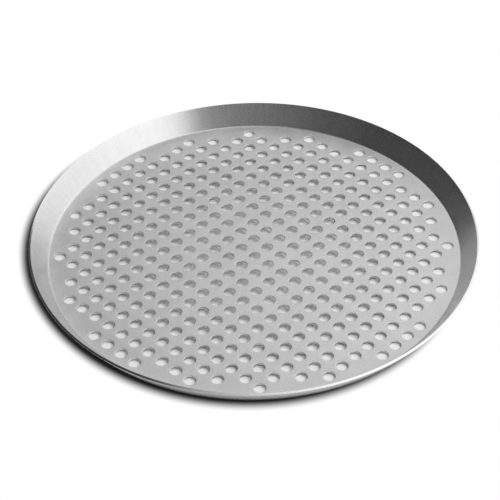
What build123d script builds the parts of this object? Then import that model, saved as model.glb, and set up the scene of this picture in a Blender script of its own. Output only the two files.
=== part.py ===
"""Perforated pizza pan: one disc of sheet aluminium, drawn into a shallow pan and punched with holes.

The sheet has a floor that rises a little to its middle, a narrow flat ring that the pan stands on, a
tight bend and a flared wall that ends in a plain cut edge. The holes lie on a square grid that is
turned by 45 degrees, and fill a circle just inside the flat ring.
"""

import math
import os

from build123d import *

# Sheet
SHEET = 1.5

# Outline, measured on the inside
MOUTH_DIAMETER = 302.5
FLOOR_DIAMETER = 282.0
HEIGHT = 16.0
BEND_RADIUS = 2.0
BEND_STEPS = 2

# Floor
CROWN = 3.6
RING_WIDTH = 3.6

# Holes
HOLE_DIAMETER = 8.0
HOLE_PITCH = 12.5
HOLE_MARGIN = 0.4
GRID_TURN = 45.0
HOLE_SIDES = 8


def crown_foot():
    """The radius at which the raised floor runs out into the flat ring."""
    return FLOOR_DIAMETER / 2 - RING_WIDTH


def floor_disc():
    """The raised floor, one sheet thick. Both of its faces are parabolas along X and along Y.

    The square patch has three rows of three control points. Those of one row stand at rise times the
    crown, which makes the height CROWN in the middle and zero all round the crown's foot.
    """
    foot = crown_foot()
    row = ((-foot, 1), (0, -1), (foot, 1))
    control = [[Vector(x, y, CROWN * (1 - rise_x - rise_y)) for y, rise_y in row] for x, rise_x in row]
    underside = Face.make_bezier_surface(control)
    slab = extrude(underside, SHEET, dir=(0, 0, 1))
    return slab & Cylinder(foot, 2 * (SHEET + CROWN) + 2 * SHEET)


def wall_line():
    """The inner face of the ring, bend and wall, with the bend's arc taken in short straight steps."""
    foot = (crown_foot(), SHEET)
    corner = (FLOOR_DIAMETER / 2, SHEET)
    mouth = (MOUTH_DIAMETER / 2, HEIGHT)
    smooth = FilletPolyline(foot, corner, mouth, radius=BEND_RADIUS)
    arc = smooth.edges().filter_by(GeomType.CIRCLE)[0]
    bend = [arc @ (step / BEND_STEPS) for step in range(BEND_STEPS + 1)]
    bend.sort(key=lambda point: point.X)
    return Polyline(foot, *bend, mouth)


def wall_ring():
    """The flat ring, the bend and the flared wall, turned round the axis as one sheet."""
    section = make_face(offset(wall_line(), SHEET, kind=Kind.INTERSECTION, side=Side.RIGHT))
    return revolve(Plane.XZ * section, Axis.Z)


def hole_centres():
    """Every crossing of the turned grid whose hole stays inside the flat ring."""
    reach = crown_foot() - HOLE_MARGIN - HOLE_DIAMETER / 2
    rows = 2 * math.ceil(reach / HOLE_PITCH)
    grid = Rot(0, 0, GRID_TURN) * GridLocations(HOLE_PITCH, HOLE_PITCH, rows, rows)
    return [place for place in grid if place.position.length <= reach]


def punches():
    """The slugs that are cut from the floor, each with the open area of the round hole."""
    turn = 2 * math.pi / HOLE_SIDES
    corner_radius = HOLE_DIAMETER / 2 * math.sqrt(turn / math.sin(turn))
    flats_square_on = math.degrees(turn) / 2
    outline = RegularPolygon(corner_radius, HOLE_SIDES, rotation=flats_square_on)
    slug = extrude(outline, SHEET + CROWN + SHEET)
    return [place * slug for place in hole_centres()]


def make_pan():
    """The drawn pan, then the holes."""
    pan = (floor_disc() + wall_ring()) - punches()
    pan.label = "pan"
    return pan


os.makedirs("parts", exist_ok=True)
pan = make_pan()
export_step(pan, "parts/pan.step")
print("valid", pan.is_valid, "volume", round(pan.volume), "size", pan.bounding_box().size)
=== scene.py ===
"""Perforated pizza pan in satin aluminium, standing on a white table under soft studio light."""

import math

import bpy
import numpy as np
from mathutils import Matrix, Vector
from mathutils.geometry import delaunay_2d_cdt


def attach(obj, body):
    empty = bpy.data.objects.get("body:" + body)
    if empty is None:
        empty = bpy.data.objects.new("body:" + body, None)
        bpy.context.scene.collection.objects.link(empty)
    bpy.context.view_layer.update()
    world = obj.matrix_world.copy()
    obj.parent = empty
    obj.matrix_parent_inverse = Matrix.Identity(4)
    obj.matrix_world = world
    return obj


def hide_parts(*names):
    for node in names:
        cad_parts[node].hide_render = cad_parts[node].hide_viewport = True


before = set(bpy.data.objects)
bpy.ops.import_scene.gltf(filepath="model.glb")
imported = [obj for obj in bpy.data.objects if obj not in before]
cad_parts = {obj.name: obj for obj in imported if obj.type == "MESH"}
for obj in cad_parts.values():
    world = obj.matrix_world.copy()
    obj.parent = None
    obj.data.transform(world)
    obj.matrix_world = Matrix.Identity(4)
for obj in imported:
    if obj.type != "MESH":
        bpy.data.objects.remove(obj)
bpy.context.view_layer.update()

MM = 0.001

# The pan's sizes in millimetres, the same as in the solid
SHEET = 1.5
MOUTH_R = 151.25
FLOOR_R = 141.0
HEIGHT = 16.0
BEND = 2.0
CROWN = 3.6
FOOT_R = 137.4
HOLE_R = 4.0
PITCH = 12.5
HOLE_REACH = 133.0

LEAN = math.atan2(HEIGHT - SHEET, MOUTH_R - FLOOR_R)
BEND_R = FLOOR_R - BEND * math.tan(LEAN / 2)

# What the solid leaves out, in millimetres: the shallow dish round a hole, its rolled lip, the
# punched wall that falls back a little, the torn edge below it, and the rim's eased corners
DISH_R = 6.0
DISH_DEPTH = 0.032
LIP = 0.45
LIP_TURN = math.radians(38)
CORNER_DROP = 0.02
FALL_BACK = 0.02
TORN = 0.13
TORN_MIDDLE_OUT = 0.05
TORN_MIDDLE_UP = 0.4 * TORN
RIM_ROUND = 0.08

# The crown's slope fades out over a width that reaches a little past the crown's foot
FADE_WIDTH = 4.0
FADE_PAST = 1.2

# How much of the worn look each edge has
LIP_WEAR = 0.1
CORNER_WEAR = 0.9
TORN_WEAR = 0.5
RIM_WEAR = 0.2

# How finely the mesh is divided
HOLE_STEPS = 20
ROUND_STEPS = 360
DISH_RINGS = (0.4, 0.8)
LIP_STEPS = 2
BEND_STEPS = 6
WALL_RINGS = (1 / 3, 2 / 3)
RIM_STEPS = 4

# Loose points of the floor keep this far off the dishes, triangles whose middle lies within this
# share of a dish are left out, and places closer than this are one
LOOSE_GAP = 0.5
INSIDE_DISH = 0.985
WELD = 1e-6

# The least radius that a place is divided by, in millimetres on the mesh and in metres in a shader
LEAST_R = 1e-9
LEAST_SHADER_R = 0.001

# The pan's materials, by their number on the faces
GRAINS = ("floor", "wall", "cut", "rim")
FLOOR_KIND, WALL_KIND, CUT_KIND, RIM_KIND = range(len(GRAINS))


# The pan's mesh


def crown_height(r):
    """How far the floor stands above the flat ring."""
    return CROWN * np.maximum(0.0, 1 - (r / FOOT_R) ** 2)


def crown_slope(r):
    """Its slope, run out softly into the flat ring."""
    s = np.clip((FOOT_R + FADE_PAST - r) / FADE_WIDTH, 0, 1)
    return -2 * CROWN * r / FOOT_R**2 * s * s * (3 - 2 * s)


def on_grid(i, j):
    """A place on the square grid of the holes, which is turned by 45 degrees."""
    u, v = i * PITCH, j * PITCH
    return (u - v) * math.sqrt(0.5), (u + v) * math.sqrt(0.5)


def hole_centres():
    """The middle of every cell of the grid whose hole stays inside the flat ring."""
    cells = math.ceil(HOLE_REACH / PITCH)
    steps = [k + 0.5 for k in range(-cells, cells)]
    places = [on_grid(i, j) for i in steps for j in steps]
    return np.array([place for place in places if math.hypot(*place) <= HOLE_REACH])


def circle(steps):
    """The unit directions round a circle."""
    turn = np.arange(steps) * 2 * math.pi / steps
    return np.column_stack([np.cos(turn), np.sin(turn)])


def closed_line(first, count):
    """The edges of a closed line of points."""
    return [(first + k, first + (k + 1) % count) for k in range(count)]


class Sheet:
    """Collects the vertices with their normals and wear, and the faces with their material."""

    def __init__(self):
        self.points, self.normals, self.wear, self.faces, self.kinds = [], [], [], [], []

    def add(self, points, normals, wear=0.0):
        first = len(self.points)
        self.points.extend(map(tuple, points))
        self.normals.extend(map(tuple, normals))
        self.wear.extend([wear] * len(points))
        return np.arange(first, first + len(points))

    def face(self, corners, kind):
        self.faces.append(tuple(int(c) for c in corners))
        self.kinds.append(kind)

    def loft(self, one, two, kind):
        """A band of quads between two closed rings."""
        n = len(one)
        for k in range(n):
            m = (k + 1) % n
            self.face((one[k], one[m], two[m], two[k]), kind)


def on_floor(xy, drop, across=None, up=1.0):
    """Points at a depth below the floor's upper face, with normals that may lean across it."""
    r = np.hypot(xy[:, 0], xy[:, 1])
    z = SHEET + crown_height(r) - drop
    slope = crown_slope(r)[:, None] * xy / np.maximum(r, LEAST_R)[:, None]
    n = np.zeros((len(xy), 3))
    n[:, :2] = -slope * up
    n[:, 2] = up
    if across is not None:
        n[:, :2] += across
    n /= np.linalg.norm(n, axis=1)[:, None]
    return np.column_stack([xy, z]), n


def floor_plan(centres):
    """The flat plan of the floor between the dishes and the bend.

    Returns its points, what each one was before the triangulation, and the triangles.
    """
    plan = [tuple(p) for c in centres for p in c + DISH_R * circle(HOLE_STEPS)]
    edges = []
    for first in range(0, len(plan), HOLE_STEPS):
        edges += closed_line(first, HOLE_STEPS)
    edges += closed_line(len(plan), ROUND_STEPS)
    plan += [tuple(p) for p in BEND_R * circle(ROUND_STEPS)]
    # Loose points between the holes, so that the triangles follow the crown
    cells = math.ceil(FOOT_R / PITCH)
    for i in range(-cells, cells + 1):
        for j in range(-cells, cells + 1):
            for half in (0.0, 0.5):
                place = on_grid(i + half, j + half)
                to_hole = np.hypot(*(centres - place).T).min()
                if math.hypot(*place) < FOOT_R and to_hole > DISH_R + LOOSE_GAP:
                    plan.append(place)
    out = delaunay_2d_cdt([Vector(p) for p in plan], edges, [], 0, WELD)
    points = np.array([tuple(v) for v in out[0]])
    source = [o[0] if o else -1 for o in out[3]]
    triangles = []
    for f in out[2]:
        middle = points[list(f)].mean(0)
        if np.hypot(*(centres - middle).T).min() > DISH_R * INSIDE_DISH:
            triangles.append(tuple(f))
    return points, source, triangles


def hole_edge():
    """The section of a hole's edge, from the dish down to the underside.

    Each row has the radius, the depth below the floor, the normal outwards and upwards, and the
    wear. The pressed rows come first, then the punched ones.
    """
    lip_r = HOLE_R + LIP
    pressed = []
    for share in DISH_RINGS:
        rho = DISH_R - share * (DISH_R - lip_r)
        drop = DISH_DEPTH * share * share * (3 - 2 * share)
        lean = DISH_DEPTH * 6 * share * (1 - share) / (DISH_R - lip_r)
        pressed.append((rho, drop, -lean, 1.0, 0.0))
    lip_round = LIP / math.sin(LIP_TURN)
    for k in range(LIP_STEPS + 1):
        a = LIP_TURN * k / LIP_STEPS
        rho = lip_r - lip_round * math.sin(a)
        drop = DISH_DEPTH + lip_round * (1 - math.cos(a))
        pressed.append((rho, drop, -math.sin(a), math.cos(a), LIP_WEAR))
    punched = [
        (HOLE_R, drop + CORNER_DROP, -1.0, 0.0, CORNER_WEAR),
        (HOLE_R + FALL_BACK, SHEET - TORN, -1.0, 0.0, 0.0),
        (HOLE_R + TORN_MIDDLE_OUT, SHEET - TORN_MIDDLE_UP, -0.7, -0.7, TORN_WEAR),
        (HOLE_R + TORN, SHEET, 0.0, -1.0, TORN_WEAR),
    ]
    return pressed, punched


def bend_arc(radius, side):
    """The bend's arc from floor to wall, with side -1 for normals towards the arc's middle."""
    rows = []
    for k in range(1, BEND_STEPS + 1):
        a = -math.pi / 2 + LEAN * k / BEND_STEPS
        out, up = math.cos(a), math.sin(a)
        r, z = BEND_R + radius * out, SHEET + BEND + radius * up
        rows.append((r, z, side * out, side * up, 0.0))
    return rows


def wall_section():
    """The section of bend, wall and rim, from the floor's upper face round to its underside.

    Each row has the radius, the height, the normal outwards and upwards, and the wear.
    """
    along = np.array([math.cos(LEAN), math.sin(LEAN)])
    across = np.array([math.sin(LEAN), -math.cos(LEAN)])
    rows = bend_arc(BEND, -1)
    foot = np.array(rows[-1][:2])
    head = np.array([MOUTH_R, HEIGHT])
    rows += [(*(foot + share * (head - foot)), *-across, 0.0) for share in WALL_RINGS]
    corners = ((RIM_ROUND, -across, along), (SHEET - RIM_ROUND, along, across))
    for depth, start, end in corners:
        middle = head + depth * across - RIM_ROUND * along
        for k in range(RIM_STEPS + 1):
            a = math.pi / 2 * k / RIM_STEPS
            n = math.cos(a) * start + math.sin(a) * end
            rows.append((*(middle + RIM_ROUND * n), *n, RIM_WEAR))
    foot, head = foot + SHEET * across, head + SHEET * across
    rows += [(*(head + share * (foot - head)), *across, 0.0) for share in WALL_RINGS]
    return rows + bend_arc(BEND + SHEET, 1)[::-1]


def build_sheet():
    """The whole sheet as one closed surface."""
    sheet = Sheet()
    centres = hole_centres()
    plan, source, triangles = floor_plan(centres)
    top = sheet.add(*on_floor(plan, 0.0))
    under = sheet.add(*on_floor(plan, SHEET, up=-1.0))
    for t in triangles:
        a, b, c = (plan[k] for k in t)
        if (b[0] - a[0]) * (c[1] - a[1]) - (b[1] - a[1]) * (c[0] - a[0]) < 0:
            t = t[::-1]
        sheet.face([top[k] for k in t], FLOOR_KIND)
        sheet.face([under[k] for k in t[::-1]], FLOOR_KIND)
    place = {s: k for k, s in enumerate(source) if s >= 0}

    way = circle(HOLE_STEPS)
    pressed, punched = hole_edge()
    for h, centre in enumerate(centres):
        line = [place[h * HOLE_STEPS + k] for k in range(HOLE_STEPS)]
        last = top[line]
        for kind, rows in ((FLOOR_KIND, pressed), (CUT_KIND, punched)):
            for rho, drop, n_out, n_up, wear in rows:
                points, normals = on_floor(centre + rho * way, drop, way * n_out, n_up)
                ring = sheet.add(points, normals, wear)
                sheet.loft(last, ring, kind)
                last = ring
        sheet.loft(last, under[line], FLOOR_KIND)

    way = circle(ROUND_STEPS)
    line = [place[len(centres) * HOLE_STEPS + k] for k in range(ROUND_STEPS)]
    last, last_wear = top[line], 0.0
    for r, z, n_out, n_up, wear in wall_section():
        points = np.column_stack([r * way, np.full(len(way), z)])
        normals = np.column_stack([n_out * way, np.full(len(way), n_up)])
        ring = sheet.add(points, normals, wear)
        sheet.loft(ring, last, RIM_KIND if wear and last_wear else WALL_KIND)
        last, last_wear = ring, wear
    sheet.loft(under[line], last, WALL_KIND)
    return sheet


def make_mesh(sheet):
    mesh = bpy.data.meshes.new("pan_sheet")
    points = np.array(sheet.points) * MM
    mesh.from_pydata([tuple(p) for p in points], [], sheet.faces)
    mesh.polygons.foreach_set("material_index", sheet.kinds)
    mesh.polygons.foreach_set("use_smooth", [True] * len(sheet.faces))
    worn_edge = mesh.attributes.new("worn_edge", "FLOAT", "POINT")
    worn_edge.data.foreach_set("value", np.array(sheet.wear, np.float32))
    mesh.update()
    mesh.normals_split_custom_set_from_vertices(sheet.normals)
    return mesh


# Materials


class Nodes:
    """Short calls for a node tree."""

    def __init__(self, tree):
        self.tree = tree
        tree.nodes.clear()

    def new(self, kind, inputs=None, **settings):
        node = self.tree.nodes.new(kind)
        for name, value in settings.items():
            setattr(node, name, value)
        for name, value in (inputs or {}).items():
            if isinstance(value, bpy.types.NodeSocket):
                self.tree.links.new(value, node.inputs[name])
            else:
                node.inputs[name].default_value = value
        return node

    def math(self, operation, a, b=0.0, c=0.0):
        return self.new("ShaderNodeMath", {0: a, 1: b, 2: c}, operation=operation).outputs[0]

    def total(self, parts):
        """The sum of some sockets, from the last to the first."""
        *rest, total = parts
        for part in reversed(rest):
            total = self.math("ADD", part, total)
        return total

    def distance(self, x, y):
        """How far a place is from the axis."""
        squares = self.math("MULTIPLY", x, x), self.math("MULTIPLY", y, y)
        return self.math("SQRT", self.math("ADD", *squares))

    def ramp(self, value, low, high, to_low=0.0, to_high=1.0, kind="SMOOTHSTEP"):
        """Runs from one level to another while the value goes from low to high."""
        ends = {"From Min": low, "From Max": high, "To Min": to_low, "To Max": to_high}
        node = self.new("ShaderNodeMapRange", {"Value": value, **ends}, interpolation_type=kind)
        return node.outputs["Result"]

    def noise(self, vector, scale, detail, roughness):
        inputs = {"Vector": vector, "Scale": scale, "Detail": detail, "Roughness": roughness}
        return self.new("ShaderNodeTexNoise", inputs).outputs[0]

    def attribute(self, name):
        return self.new("ShaderNodeAttribute", attribute_name=name).outputs["Fac"]

    def mix_colour(self, share, one, two):
        return self.new("ShaderNodeMix", {6: one, 7: two, 0: share}, data_type="RGBA").outputs[2]

    def shader(self, kind, inputs=None):
        return self.new(kind, inputs).outputs[0]

    def mix_shader(self, share, one, two):
        return self.shader("ShaderNodeMixShader", {0: share, 1: one, 2: two})

    def output(self, shader, kind="ShaderNodeOutputMaterial"):
        self.new(kind, {0: shader})


def new_material(name):
    """An empty material, with the short calls for its nodes."""
    material = bpy.data.materials.new(name)
    material.use_nodes = True
    return material, Nodes(material.node_tree)


# The metal's noises by scale, detail and roughness, and the values between which one is spread
NOISES = {
    "speckle": (1050.0, 3.0, 0.6),
    "fine": (3600.0, 2.0, 0.6),
    "cloud": (60.0, 3.0, 0.55),
    "rings": (1.0, 3.0, 0.65),
    "bands": (1.0, 1.0, 0.4),
}
SPREAD = {"speckle": (0.35, 0.65), "fine": (0.3, 0.7), "cloud": (0.3, 0.7)}
SHADE_SPREAD = (0.38, 0.62)

# The noises that are turned round the axis, by their scale round it and along the section
TURNED = {"rings": (9.0, 2600.0), "bands": (40.0, 40.0)}

# How each grain looks: the noises' shares in its shade, the roughness that a noise runs over,
# the shares in its relief, the bump's strength and depth, and the darkest and lightest tone
LOOKS = {
    "floor": {
        "shade": {"speckle": 0.6, "cloud": 0.4},
        "rough": {"speckle": (0.33, 0.49), "cloud": (-0.02, 0.03)},
        "relief": {"speckle": 0.8, "fine": 0.3, "rings": 0.2},
        "bump": (0.85, 0.10 * MM),
        "tones": (0.74, 0.88),
    },
    "wall": {
        "shade": {"speckle": 0.5, "bands": 0.2, "fine": 0.3},
        "rough": {"fine": (0.27, 0.32), "speckle": (-0.01, 0.01)},
        "relief": {"rings": 0.4, "speckle": 0.3, "fine": 0.3},
        "bump": (0.30, 0.03 * MM),
        "tones": (0.77, 0.85),
    },
    "cut": {
        "shade": {"fine": 0.6, "cloud": 0.4},
        "rough": {"fine": (0.55, 0.70)},
        "relief": {"fine": 1.0},
        "bump": (0.2, 0.03 * MM),
        "tones": (0.57, 0.67),
    },
    "rim": {
        "shade": {"fine": 0.6, "cloud": 0.4},
        "rough": {"fine": (0.18, 0.24)},
        "relief": {"fine": 1.0},
        "bump": (0.2, 0.03 * MM),
        "tones": (0.84, 0.90),
    },
}

# What wear does to an edge: it takes on this share of a lighter tone and gets smoother
WORN_SHARE = 0.7
WORN_COLOUR = (0.90, 0.90, 0.90, 1)
WORN_SMOOTHER = 0.08

# The spun wall spreads its highlights across the marks of the spinning
SPUN_STRETCH = 0.6
SPUN_TURN = 0.25


def turned_place(n, place, around, along):
    """A place on the section turned round the axis, so that a noise read there has no seam."""
    x, y, z = n.new("ShaderNodeSeparateXYZ", {0: place}).outputs
    radius = n.distance(x, y)
    off_axis = n.math("MAXIMUM", radius, LEAST_SHADER_R)
    parts = {
        0: n.math("MULTIPLY", n.math("DIVIDE", x, off_axis), around),
        1: n.math("MULTIPLY", n.math("DIVIDE", y, off_axis), around),
        2: n.math("MULTIPLY", n.math("ADD", radius, z), along),
    }
    return n.new("ShaderNodeCombineXYZ", parts).outputs[0]


def metal_noise(n, name):
    """One of the metal's noises, in space or round the axis."""
    place = n.new("ShaderNodeTexCoord").outputs["Object"]
    if name in TURNED:
        place = turned_place(n, place, *TURNED[name])
    return n.noise(place, *NOISES[name])


def aluminium(grain):
    """Satin aluminium: the pressed floor, the spun wall, the punched edges or the trimmed rim."""
    look = LOOKS[grain]
    material, n = new_material("aluminium_" + grain)
    wanted = {*look["shade"], *look["rough"], *look["relief"]}
    noise = {name: metal_noise(n, name) for name in NOISES if name in wanted}

    def blend(shares):
        return n.total(n.math("MULTIPLY", noise[name], share) for name, share in shares.items())

    worn = n.attribute("worn_edge")
    dark, light = ((tone, tone, tone, 1) for tone in look["tones"])
    tint = n.mix_colour(n.ramp(blend(look["shade"]), *SHADE_SPREAD), dark, light)
    rough = n.total(
        n.ramp(noise[name], *SPREAD[name], *ends) for name, ends in look["rough"].items()
    )
    strength, depth = look["bump"]
    bump = {"Height": blend(look["relief"]), "Strength": strength, "Distance": depth}
    inputs = {
        "Metallic": 1.0,
        "Base Color": n.mix_colour(n.math("MULTIPLY", worn, WORN_SHARE), tint, WORN_COLOUR),
        "Roughness": n.math("SUBTRACT", rough, n.math("MULTIPLY", worn, WORN_SMOOTHER)),
        "Normal": n.new("ShaderNodeBump", bump).outputs[0],
    }
    if grain == "wall":
        tangent = n.new("ShaderNodeTangent", direction_type="RADIAL", axis="Z")
        inputs["Anisotropic"] = SPUN_STRETCH
        inputs["Anisotropic Rotation"] = SPUN_TURN
        inputs["Tangent"] = tangent.outputs[0]
    n.output(n.shader("ShaderNodeBsdfPrincipled", inputs))
    return material


# The pan
pan = bpy.data.objects.new("pan_sheet", make_mesh(build_sheet()))
bpy.context.scene.collection.objects.link(pan)
for grain in GRAINS:
    pan.data.materials.append(aluminium(grain))
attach(pan, "root")
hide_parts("pan")

# The camera that was fitted to the hole centres of the photograph: three angles, the distance in
# diagonals of the hole grid, and where it aims, in the picture and in millimetres on the pan
AZIMUTH, ELEVATION, ROLL = (math.radians(degrees) for degrees in (-0.732, 40.766, -1.2036))
DISTANCE = 72.5172 * PITCH * math.sqrt(2) * MM
PHOTO_PX = 500
FOCAL_PX = 1873.17
AIM_PX = (4.082, 1.340)
AIM_MM = (0.08, -0.14, SHEET)
SENSOR = 36.0


def make_camera():
    flat = math.cos(ELEVATION)
    back = Vector((math.sin(AZIMUTH) * flat, -math.cos(AZIMUTH) * flat, math.sin(ELEVATION)))
    right = Vector((0, 0, 1)).cross(back).normalized()
    up = back.cross(right)
    c, s = math.cos(ROLL), math.sin(ROLL)
    right, up = c * right + s * up, c * up - s * right
    off_middle = (right * AIM_PX[0] - up * AIM_PX[1]) * (DISTANCE / FOCAL_PX)
    eye = back * DISTANCE - off_middle + Vector(AIM_MM) * MM
    data = bpy.data.cameras.new("camera")
    data.sensor_width = SENSOR
    data.lens = FOCAL_PX * SENSOR / PHOTO_PX
    data.clip_start, data.clip_end = 0.05, 50
    camera = bpy.data.objects.new("camera", data)
    camera.matrix_world = Matrix((
        (right.x, up.x, back.x, eye.x),
        (right.y, up.y, back.y, eye.y),
        (right.z, up.z, back.z, eye.z),
        (0, 0, 0, 1),
    ))
    bpy.context.scene.collection.objects.link(camera)
    bpy.context.scene.camera = camera


make_camera()

# The table lies a hair under the pan. Its sizes are in metres, but for the series in millimetres.
TABLE_HALF = 6
TABLE_Z = -0.00005

# Where the shadow ends, a painted shadow edge: past it the table is plain white to the camera, so
# the shadow's outline and fade are painted. Its distance from the middle by direction, as a short
# Fourier series of cosines and sines, and the width over which it fades, which swings with twice
# the angle
SHADOW_R = 151.7 * MM
SHADOW_SERIES = ((-7.4, 6.5), (-0.48, -2.57), (-0.05, 1.3))
SHADOW_FADE = 8.75 * MM
SHADOW_FADE_SWING = -1.25 * MM

# The table in the shadow: painted light makes it lightest under the middle of the pan, so that it
# gets a little darker from the middle outwards, and painted shade makes it much darker between
# the two radii of OUTSIDE, past the pan's foot
UNDER = (0.055, 0.120)
PAINTED_LIGHT_UNDER_LEVELS = (1.0, 0.88)
OUTSIDE = (0.139, 0.142)
PAINTED_SHADE_LEVEL = 0.12

# A painted reflection for the outer face of the wall: to shiny surfaces the table glows by levels
# of its own, dark at the foot, then a grey that rises from left to right, and white farther out
PAINTED_REFLECTION_GREY = (0.1435, 0.1443)
PAINTED_REFLECTION_WHITE = (0.1480, 0.1520)
GREY_ACROSS = (-0.14, 0.03)
GREY_LEVELS = (0.08, 0.44)


def staged_face(name, corners, material):
    """One flat face of the studio."""
    mesh = bpy.data.meshes.new(name)
    mesh.from_pydata(corners, [], [tuple(range(len(corners)))])
    mesh.materials.append(material)
    obj = bpy.data.objects.new(name, mesh)
    bpy.context.scene.collection.objects.link(obj)
    return obj


def table_material():
    """White, with the pan's shadow deepened by painted shade, and plain white to the camera past
    it.
    """
    material, n = new_material("white_table")
    place = n.new("ShaderNodeTexCoord").outputs["Object"]
    x, y, _ = n.new("ShaderNodeSeparateXYZ", {0: place}).outputs
    radius = n.distance(x, y)
    angle = n.math("ARCTAN2", y, x)
    path = n.new("ShaderNodeLightPath").outputs
    # 1 for the rays that no matt face has sent on yet, 0 for the others
    first = n.math("LESS_THAN", path["Diffuse Depth"], 0.5)

    end = SHADOW_R
    for k, (cosine, sine) in enumerate(SHADOW_SERIES, 1):
        turn = n.math("MULTIPLY", angle, float(k))
        end = n.math("MULTIPLY_ADD", n.math("COSINE", turn), cosine * MM, end)
        end = n.math("MULTIPLY_ADD", n.math("SINE", turn), sine * MM, end)
    swing = n.math("COSINE", n.math("MULTIPLY", angle, 2.0))
    width = n.math("MULTIPLY_ADD", swing, SHADOW_FADE_SWING, SHADOW_FADE)
    # Painted shadow edge: 0 in the shadow, 1 where the table is shown plain white to the camera
    far = n.ramp(n.math("DIVIDE", n.math("SUBTRACT", radius, end), width), -0.5, 0.5)

    # Painted reflection: to shiny surfaces the table right under the wall glows by a level of its
    # own, which the outer face of the wall mirrors
    grey = n.ramp(x, *GREY_ACROSS, *GREY_LEVELS, "LINEAR")
    painted_reflection = n.math("MULTIPLY", n.ramp(radius, *PAINTED_REFLECTION_GREY), grey)
    painted_reflection = n.math("MAXIMUM", painted_reflection, n.ramp(radius, *PAINTED_REFLECTION_WHITE))
    shown_white = n.math("MULTIPLY", far, path["Is Camera Ray"])
    shown_painted_reflection = n.math("MULTIPLY", painted_reflection, path["Is Glossy Ray"])
    shown = n.math("MAXIMUM", shown_white, shown_painted_reflection)

    # Past the foot of the pan the table is painted darker, a painted shade, and sends no light
    # back under the rim, so that the shadow is deep
    outside = n.ramp(radius, *OUTSIDE)
    # Painted light: the table is lightest under the middle of the pan
    under = n.ramp(radius, *UNDER, *PAINTED_LIGHT_UNDER_LEVELS)
    level = n.ramp(outside, 0.0, 1.0, under, PAINTED_SHADE_LEVEL, "LINEAR")
    bounce_painted_black = n.math("MULTIPLY", outside, n.math("SUBTRACT", 1.0, first))
    level = n.math("MULTIPLY", level, n.math("SUBTRACT", 1.0, bounce_painted_black))
    colour = n.new("ShaderNodeCombineColor", {0: level, 1: level, 2: level}).outputs[0]
    lit = n.shader("ShaderNodeBsdfDiffuse", {"Color": colour})
    white = n.shader("ShaderNodeEmission", {"Strength": 1.0})
    both = n.mix_shader(n.math("MULTIPLY", shown, first), lit, white)

    # Seen from below the table is clear, so that the underside of the pan shows
    behind = n.new("ShaderNodeNewGeometry").outputs["Backfacing"]
    below = n.math("MULTIPLY", behind, path["Is Camera Ray"])
    seen = n.mix_shader(below, both, n.shader("ShaderNodeBsdfTransparent"))
    n.output(seen)
    return material


table_corners = [
    (side_x * TABLE_HALF, side_y * TABLE_HALF, TABLE_Z)
    for side_x, side_y in ((-1, -1), (1, -1), (1, 1), (-1, 1))
]
staged_face("table", table_corners, table_material())


# The studio's light, in metres


def soft_box(name, corners, levels):
    """A glowing panel that only shiny surfaces see, with a level of light at each corner."""
    material, n = new_material(name)
    n.output(n.shader("ShaderNodeEmission", {"Strength": n.attribute("level")}))
    obj = staged_face(name, corners, material)
    level = obj.data.attributes.new("level", "FLOAT", "POINT")
    level.data.foreach_set("value", levels)
    obj.visible_camera = obj.visible_diffuse = False
    obj.visible_shadow = obj.visible_transmission = False


def curtain(name, posts, heights, levels):
    """Upright soft boxes side by side on a line of posts, with a row of levels per height."""
    for k in range(len(posts) - 1):
        for m in range(len(heights) - 1):
            ends = [(k, m), (k + 1, m), (k + 1, m + 1), (k, m + 1)]
            corners = [(*posts[post], heights[row]) for post, row in ends]
            soft_box(f"{name}_{k}_{m}", corners, [levels[row][post] for post, row in ends])


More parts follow.
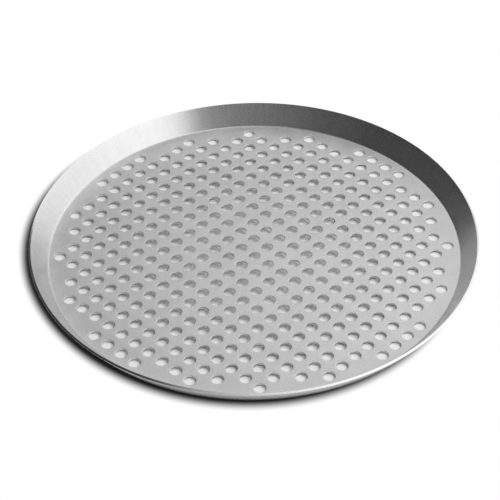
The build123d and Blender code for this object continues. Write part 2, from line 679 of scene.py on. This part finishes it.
curtain(
    "box_back",
    posts=[
        (1.6, -2.90), (1.6, -2.10), (1.6, -1.40), (1.6, 1.4), (1.6, 2.2),
        (0.7, 2.2), (-0.1, 2.2), (-0.9, 2.2), (-1.7, 2.2),
    ],
    heights=[0.0, 0.9, 2.0, 3.6],
    levels=[
        [0.15, 0.98, 1.19, 0.97, 0.44, 0.42, 0.54, 1.00, 0.95],
        [0.15, 0.98, 1.19, 0.97, 0.44, 0.38, 0.30, 0.26, 0.22],
        [0.15, 0.98, 1.19, 1.20, 1.00, 1.02, 0.97, 0.52, 0.20],
        [0.15, 0.98, 1.19, 1.15, 0.92, 0.88, 0.86, 0.58, 0.28],
    ],
)
curtain(
    "box_front",
    posts=[(-3.6, -2.2), (-2.1, -2.2), (-1.44, -2.2), (1.15, -2.2)],
    heights=[0.0, 3.2],
    levels=[[0.085, 0.062, 0.067, 0.130]] * 2,
)
soft_box(
    "box_top",
    corners=[(-1.2, -1.8, 2.2), (1.5, -1.8, 2.2), (1.5, 0.7, 2.2), (-1.2, 0.7, 2.2)],
    levels=[0.35, 1.5, 0.8, 0.0],
)
soft_box(
    "box_top_back",
    corners=[(-1.2, 2.2, 3.6), (1.5, 2.2, 3.6), (1.5, 0.7, 2.2), (-1.2, 0.7, 2.2)],
    levels=[0.22, 0.52, 0.55, 0.22],
)

# The world is white to the camera, fills the table's shadow and leaves the metal nearly dark
SURROUND_MIRRORED = 0.045
SURROUND_DIFFUSE = 0.36
PLAIN_WHITE = (1, 1, 1, 1)

world = bpy.data.worlds.new("studio")
bpy.context.scene.world = world
world.use_nodes = True
w = Nodes(world.node_tree)
path = w.new("ShaderNodeLightPath").outputs
fill = w.ramp(path["Is Diffuse Ray"], 0.0, 1.0, SURROUND_MIRRORED, SURROUND_DIFFUSE, "LINEAR")
surround = w.shader("ShaderNodeBackground", {"Color": PLAIN_WHITE, "Strength": fill})
white = w.shader("ShaderNodeBackground", {"Color": PLAIN_WHITE, "Strength": 1.0})
both = w.mix_shader(path["Is Camera Ray"], surround, white)
w.output(both, "ShaderNodeOutputWorld")


def lamp(place, power, size):
    """A round lamp that points at the middle of the pan and lights the table alone."""
    data = bpy.data.lights.new("key", "AREA")
    data.shape = "DISK"
    data.size = size
    data.energy = power
    obj = bpy.data.objects.new("key", data)
    obj.location = place
    obj.rotation_mode = "QUATERNION"
    obj.rotation_quaternion = Vector(place).to_track_quat("Z", "Y")
    obj.visible_camera = obj.visible_glossy = False
    bpy.context.scene.collection.objects.link(obj)


lamp(place=(0.66, 0.02, 1.0), power=12.2, size=1.4)

bpy.context.scene.view_settings.view_transform = "Standard"

bpy.context.view_layer.update()
